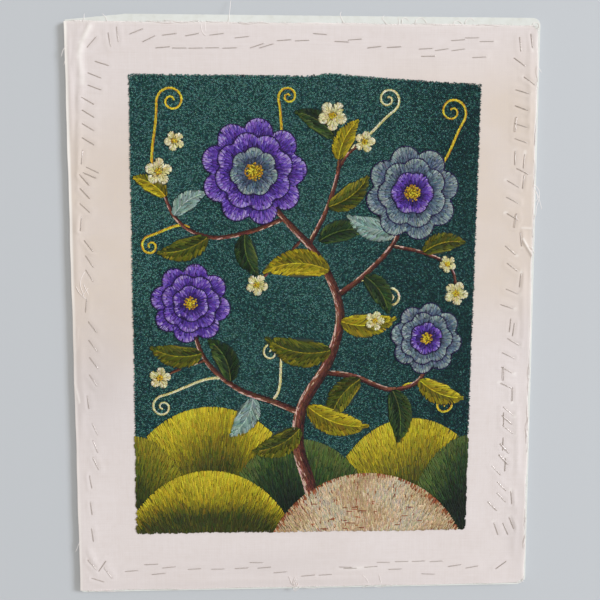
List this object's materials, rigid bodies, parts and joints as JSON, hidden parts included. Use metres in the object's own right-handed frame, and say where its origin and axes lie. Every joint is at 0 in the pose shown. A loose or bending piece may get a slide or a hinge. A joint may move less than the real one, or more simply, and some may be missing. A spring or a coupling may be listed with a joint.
{
  "type": "stitched picture on a backing board",
  "caption": "Hand-stitched floral picture on white cotton cloth, stapled through its raw margins to the face of a thin white board.",
  "frame": {"origin": "under the middle of the panel, on the plane that its back rests on", "axes": "+Z out of the stitched face, +Y towards the picture's top, +X to the right as the face is seen"},
  "size_m": [0.4078, 0.508, 0.0089],
  "materials": {
    "white_board": "matt white paper facing",
    "white_cotton": "fine plain-woven cotton, slightly pink white",
    "stitched_yarn": "matt yarn in short close stitches",
    "staple_wire": "bright office staple wire"
  },
  "bodies": {
    "root": {"backing_board": "white_board", "ground_cloth": "white_cotton", "stitched_field": "stitched_yarn", "staple_01": "staple_wire", "staple_02": "staple_wire", "staple_03": "staple_wire", "staple_04": "staple_wire", "staple_05": "staple_wire", "staple_06": "staple_wire", "staple_07": "staple_wire", "staple_08": "staple_wire", "staple_09": "staple_wire", "staple_10": "staple_wire", "staple_11": "staple_wire", "staple_12": "staple_wire", "staple_13": "staple_wire", "staple_14": "staple_wire", "staple_15": "staple_wire", "staple_16": "staple_wire", "staple_17": "staple_wire", "staple_18": "staple_wire", "staple_19": "staple_wire", "staple_20": "staple_wire", "staple_21": "staple_wire", "staple_22": "staple_wire", "staple_23": "staple_wire", "staple_24": "staple_wire", "staple_25": "staple_wire", "staple_26": "staple_wire", "staple_27": "staple_wire", "staple_28": "staple_wire", "staple_29": "staple_wire", "staple_30": "staple_wire", "staple_31": "staple_wire", "staple_32": "staple_wire", "staple_33": "staple_wire", "staple_34": "staple_wire", "staple_35": "staple_wire", "staple_36": "staple_wire", "staple_37": "staple_wire", "staple_38": "staple_wire", "staple_39": "staple_wire", "staple_40": "staple_wire", "staple_41": "staple_wire", "staple_42": "staple_wire", "staple_43": "staple_wire", "staple_44": "staple_wire", "staple_45": "staple_wire", "staple_46": "staple_wire", "staple_47": "staple_wire", "staple_48": "staple_wire", "staple_49": "staple_wire", "staple_50": "staple_wire", "staple_51": "staple_wire", "staple_52": "staple_wire", "staple_53": "staple_wire", "staple_54": "staple_wire", "staple_55": "staple_wire"}
  },
  "joints": []
}
